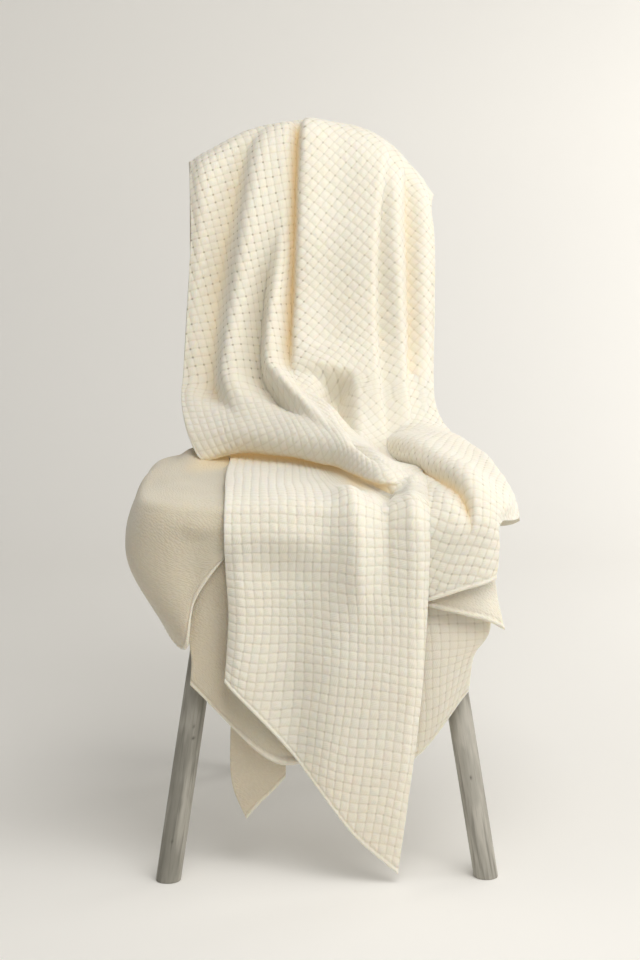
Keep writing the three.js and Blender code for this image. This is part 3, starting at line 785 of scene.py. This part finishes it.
# Where the panel gets painted tan shade and glow under the roll and the rope.
PANEL_PAINTED_SHADE = [
    ("under the roll", 11.0, 14.75, 0.45, 0, 0.45, 2.0, 0.12, 0.9, 0),
    ("under the rope", 11.0, 15.4, 0.68, 0, 0.68, 0.10, 0.06, 0.8, 0),
]


def hanging_weave(p, q, u, at):
    """Columns that hang straight down: below the rim a step across is the level side of a right
    triangle, whose long side is the step along the slanting section and whose upright side is its
    fall."""
    step, fall = np.diff(p, axis=1), np.diff(q, axis=1)
    level = np.sqrt(np.maximum(step**2 - fall**2, 0.1 * step**2))
    step = step + (level - step) * smooth(at, 17, 18)
    straight = np.concatenate([np.zeros_like(p[:, :1]), np.cumsum(step, axis=1)], axis=1)
    return straight / STITCH_WIDE, q / STITCH_HIGH


panel = knit_sheet(
    "blanket_panel", MAIN, MAIN_FOLDS, reach=(PANEL_FROM, 20), step=1.6, weave=hanging_weave,
    zero=(0.0, 17.0), hem="end", holes=PANEL_OPEN, painted_shade_folds=PANEL_PAINTED_SHADE)
dress(panel)


# Blanket, left corner. Its wrong side shows: short slanting loops. It lies on the seat's left, turns
# over the seat's edge with a soft bulge and ends in a rolled hem below.

LEFT = [
    ("seat, inside",
     (-122, 150, 460), (-112, 36, 460), (-108, -40, 460), (-93, -94, 460), (-60, -130, 460)),
    ("seat, outside",
     (-186, 140, 465), (-203, -16, 459), (-196, -156, 460), (-140, -191, 459), (-72, -199, 458.5)),
    ("rim", (-222, 100, 452), (-232, -43, 446), (-221, -184, 448), (-163, -216, 444), (-90, -214, 440)),
    ("bulge", (-238, 92, 384), (-242, -58, 382), (-231, -186, 384), (-170, -218, 398), (-95, -215, 412)),
    ("hem", (-228, 40, 352), (-208, -100, 312), (-170, -215, 286), (-157, -222, 348), (-112, -216, 412)),
]
LEFT_FOLDS = [
    ("far edge raised", -0.4, 1.0, 0.0, 0, 0.0, 0.06, 0.06, 10, 0),
    ("front crease", 2.2, 4.0, 0.78, 0, 0.8, 0.07, 0.07, -6, 0),
]
# Painted tan shade and glow under the end of the roll.
LEFT_PAINTED_SHADE = [("under the roll", -0.8, 0.8, 0.12, 0, 0.12, 0.12, 0.10, 0.7, 0)]
left = knit_sheet(
    "blanket_left_corner", LEFT, LEFT_FOLDS, reach=(0, 4), step=2.0, zero=(0.0, 2.0), hem="end",
    knit=False, painted_shade_folds=LEFT_PAINTED_SHADE)
dress(left)


# Blanket, inner corner. A second corner behind the panel, wrong side out on the left, right side out
# below the lip on the right; its tip is behind the panel and its hem is rolled thick on the left.

INNER = [
    ("tuck", (-116, 92, 464), (-56, 81, 464), (0, 60, 464), (52, 30, 464), (100, -10, 464)),
    ("seat", (-146, -40, 452.8), (-72, -46, 452.8), (0, -50, 452.8), (71, -51, 452.8), (140, -50, 452.8)),
    ("seat, forward",
     (-152, -140, 452.8), (-76, -148, 452.8), (0, -150, 452.8), (75, -148, 452.8), (150, -140, 452.8)),
    ("seat, front",
     (-156, -196, 454.5), (-80, -199, 454.5), (0, -199, 454.5), (82, -197, 454.5), (168, -192, 454.5)),
    ("rim", (-165, -211, 438), (-86, -213, 438), (0, -213, 438), (93, -212, 438), (190, -208, 438)),
    ("recess", (-168, -206, 350), (-84, -213, 345), (5, -214, 342), (100, -206, 345), (194, -196, 352)),
    ("low", (-166, -206, 300), (-80, -212, 290), (10, -214, 280), (100, -207, 296), (196, -202, 304)),
    ("lower", (-163, -206, 270), (-72, -211, 215), (15, -214, 208), (100, -207, 226), (177, -204, 272)),
    ("hem", (-165, -206, 240), (-62, -210, 143), (20, -214, 165), (98, -209, 142), (171, -204, 228)),
]
INNER_FOLDS = [("left crease", 4.2, 8.0, 0.12, 0, 0.12, 0.05, 0.05, -5, 0)]


def right_half(u, at):
    return (u > 0.5) & (at > 0)


def thick_left(u, at):
    """The hem's bead, nearly twice as thick over a short stretch on the left."""
    return HEM + 2.2 * smooth(u, 0.08, 0.2) * smooth(0.4 - u, 0, 0.1)


inner = knit_sheet(
    "blanket_inner_corner", INNER, INNER_FOLDS, reach=(0, 8), step=2.2, zero=(0.5, 4.0), hem="end",
    knit=right_half, holes=PANEL_OPEN, bead=thick_left, raised=0.5)
dress(inner)


# Blanket, lip. A strip of the throw's wrong side between the right folds and the inner corner; its
# lower edge is a rolled hem that stands forward as a lip.

LIP = [
    ("behind the folds",
     (112, -212, 404), (136, -213, 406), (160, -213, 406), (182, -211, 404), (199, -205, 400)),
    ("recess", (112, -215, 364), (138, -216, 362), (163, -215, 359), (186, -212, 354), (203, -206, 347)),
    ("lip", (112, -219, 339), (140, -220, 332), (167, -220, 325), (192, -218, 318), (212, -216, 307)),
]


def painted_light_outward(u, at):
    """Painted light: paler to the right, standing in for light that comes through the single layer."""
    return 0.9 * smooth(u, 0.15, 0.85)


lip = knit_sheet(
    "blanket_lip", LIP, [], reach=(0, 2), step=1.7, hem="end", knit=False, painted_light=painted_light_outward, bead=3.2)
dress(lip)


# Blanket, small corner. A narrow corner of the throw that hangs behind the inner one and shows below
# it on the left, wrong side out, with the same rolled hem.

SMALL = [
    ("top", (-112, -207, 262), (-96, -208, 262), (-80, -208, 262), (-63, -208, 262), (-46, -209, 262)),
    ("middle", (-117, -194, 170), (-101, -196, 165), (-84, -198, 160), (-67, -199, 155), (-50, -200, 150)),
    ("low", (-115, -190, 112), (-100, -192, 117), (-84, -195, 124), (-67, -197, 131), (-50, -199, 138)),
    ("hem", (-98, -186, 66), (-87, -189, 79), (-75, -192, 93), (-62, -195, 107), (-50, -197, 122)),
]
small = knit_sheet(
    "blanket_small_corner", SMALL, [], reach=(0, 3), step=1.8, zero=(0.5, 0.0), hem="end", knit=False)
dress(small)


# Blanket, right folds. The other side of the throw lies heaped on the seat's right in a second roll,
# with a deep gap under it, and hangs over the seat's front to a rolled hem.

RIGHT = [
    ("on the back", (92, 176, 572), (112, 178, 571), (128, 181, 570), (142, 184, 568), (152, 187, 566)),
    ("down the back", (84, 124, 504), (110, 120, 512), (134, 128, 514), (154, 138, 510), (170, 152, 506)),
    ("heap", (88, 66, 478), (114, 42, 500), (148, 42, 508), (186, 66, 498), (214, 96, 470)),
    ("seat", (100, -62, 469), (128, -78, 488), (162, -74, 494), (200, -58, 484), (232, -32, 460)),
    ("front", (112, -172, 466), (140, -185, 474), (174, -178, 482), (209, -162, 467), (236, -138, 431)),
    ("rim", (119, -222, 444), (146, -227, 447), (174, -226, 450), (194, -220, 446), (205, -208, 436)),
    ("flap", (119, -225, 394), (143, -229, 399), (168, -229, 403), (190, -224, 404), (204, -214, 403)),
    ("hem", (119, -224, 344), (141, -228, 352), (163, -228, 359), (184, -225, 364), (201, -217, 369)),
]
RIGHT_FOLDS = [
    ("second roll", 1.3, 5.0, 0.08, 0.05, 0.56, 0.10, 0.16, 11, -3),
    ("under the roll", 1.6, 5.6, -0.16, 0.16, 0.46, 0.10, 0.035, -14, 0),
    ("outer roll", 2.0, 5.0, 0.8, 0, 0.84, 0.08, 0.08, 6, 0),
]
RIGHT_TURN = 22
# Painted tan shade and glow in the gap under the second roll.
RIGHT_PAINTED_SHADE = [("under the roll", 1.8, 5.6, -0.14, 0.16, 0.465, 0.05, 0.03, 0.9, 0)]


def slanted_weave(p, q, u, at):
    return turned(p, q, RIGHT_TURN)


right = knit_sheet(
    "blanket_right_folds", RIGHT, RIGHT_FOLDS, reach=(0, 7), step=1.7, weave=slanted_weave,
    zero=(0.0, 4.0), hem="end", holes=0.6, painted_shade_folds=RIGHT_PAINTED_SHADE)
dress(right)


# Blanket, curl. A finger's width of the right folds' edge, curled under so that its shaded wrong side
# shows beside the seat.

CURL = [
    ("edge", (203, -158, 428), (212, -156, 431), (221, -153, 432.5), (230, -148, 432.5), (238, -141, 430)),
    ("under",
     (203, -151, 424.5), (212, -144, 423), (221, -139, 422.5), (230, -135, 423.5), (238, -134, 427)),
]
curl = knit_sheet("blanket_right_curl", CURL, [], reach=(0, 1), step=1.5, knit=False)
dress(curl)


# Floor and backdrop. One pale sweep of plain studio paper, level under the chair and in front of it,
# curved up behind it and hung from above.

PAPER = (0.915, 0.90, 0.865)
PAPER_FRONT = -6.0
PAPER_TOP = 5.0
PAPER_HALF_WIDTH = 6.0
SWEEP_BACK = 1.7
SWEEP_RADIUS = 0.9
sweep_turn = np.linspace(0, math.pi / 2, 25)
sweep_y = SWEEP_BACK + SWEEP_RADIUS * np.sin(sweep_turn)
sweep_y = np.concatenate([[PAPER_FRONT], sweep_y, [SWEEP_BACK + SWEEP_RADIUS]])
sweep_z = SWEEP_RADIUS * (1 - np.cos(sweep_turn))
sweep_z = np.concatenate([[0.0], sweep_z, [PAPER_TOP]])
sweep_x = np.array([-PAPER_HALF_WIDTH, PAPER_HALF_WIDTH])
sweep_grid = np.broadcast_arrays(sweep_x[None, :], sweep_y[:, None], sweep_z[:, None])
sweep_first = np.arange(len(sweep_y) - 1)[:, None] * 2
floor_mesh = bpy.data.meshes.new("floor")
sweep_faces = sweep_first + np.array([[0, 1, 3, 2]])
floor_mesh.from_pydata(np.stack(sweep_grid, -1).reshape(-1, 3).tolist(), [], sweep_faces.tolist())
floor_mesh.polygons.foreach_set("use_smooth", np.ones(len(sweep_first), dtype=bool))
floor = bpy.data.objects.new("floor", floor_mesh)
bpy.context.scene.collection.objects.link(floor)
paper, _, paper_shader = new_material("studio_paper")
paper_shader.inputs["Base Color"].default_value = (*PAPER, 1)
paper_shader.inputs["Roughness"].default_value = 0.9
paper_shader.inputs["Specular IOR Level"].default_value = 0.1
floor_mesh.materials.append(paper)


# Studio light. A large soft panel beside the chair on the right, a second one above and in front, a
# third that brightens the backdrop's right side, and an even pale surround.

PANEL_COLOUR = (1.0, 0.98, 0.95)
SURROUND = (1.0, 0.99, 0.965)
SURROUND_STRENGTH = 0.37
# Each panel: its name, its place, the point it faces, its width and its watts.
SOFT_PANELS = [
    ("side_panel", (2.5, -0.75, 1.6), (0.0, 0.0, 0.5), 2.2, 27.5),
    ("top_panel", (0.4, -1.05, 1.85), (0.0, 0.0, 0.6), 1.2, 19.5),
    ("backdrop_panel", (1.8, 1.3, 0.9), (0.3, 2.2, -0.2), 1.6, 14.5),
]
for panel_name, place, target, width, energy in SOFT_PANELS:
    light = bpy.data.objects.new(panel_name, bpy.data.lights.new(panel_name, "AREA"))
    light.data.shape = "SQUARE"
    light.data.size = width
    light.data.energy = energy
    light.data.color = PANEL_COLOUR
    light.location = place
    light.rotation_euler = (Vector(target) - Vector(place)).to_track_quat("-Z", "Y").to_euler()
    bpy.context.scene.collection.objects.link(light)
world = bpy.data.worlds.new("studio")
world.use_nodes = True
world.node_tree.nodes["Background"].inputs[0].default_value = (*SURROUND, 1)
world.node_tree.nodes["Background"].inputs[1].default_value = SURROUND_STRENGTH
bpy.context.scene.world = world
bpy.context.scene.view_settings.view_transform = "Standard"


# Camera. It stands nearly three metres in front of the chair, about as high as its back, and looks
# slightly down at its front.

CAMERA_PLACE = (-0.0932, -2.76905, 0.9)
CAMERA_DOWN = 9.21
CAMERA_TURN = -2
SENSOR = 36
FOCAL_LENGTH = 81.1875
camera = bpy.data.objects.new("camera", bpy.data.cameras.new("camera"))
camera.data.lens = FOCAL_LENGTH
camera.data.sensor_width = SENSOR
camera.location = CAMERA_PLACE
camera.rotation_euler = (math.radians(90 - CAMERA_DOWN), 0, math.radians(CAMERA_TURN))
bpy.context.scene.collection.objects.link(camera)
bpy.context.scene.camera = camera
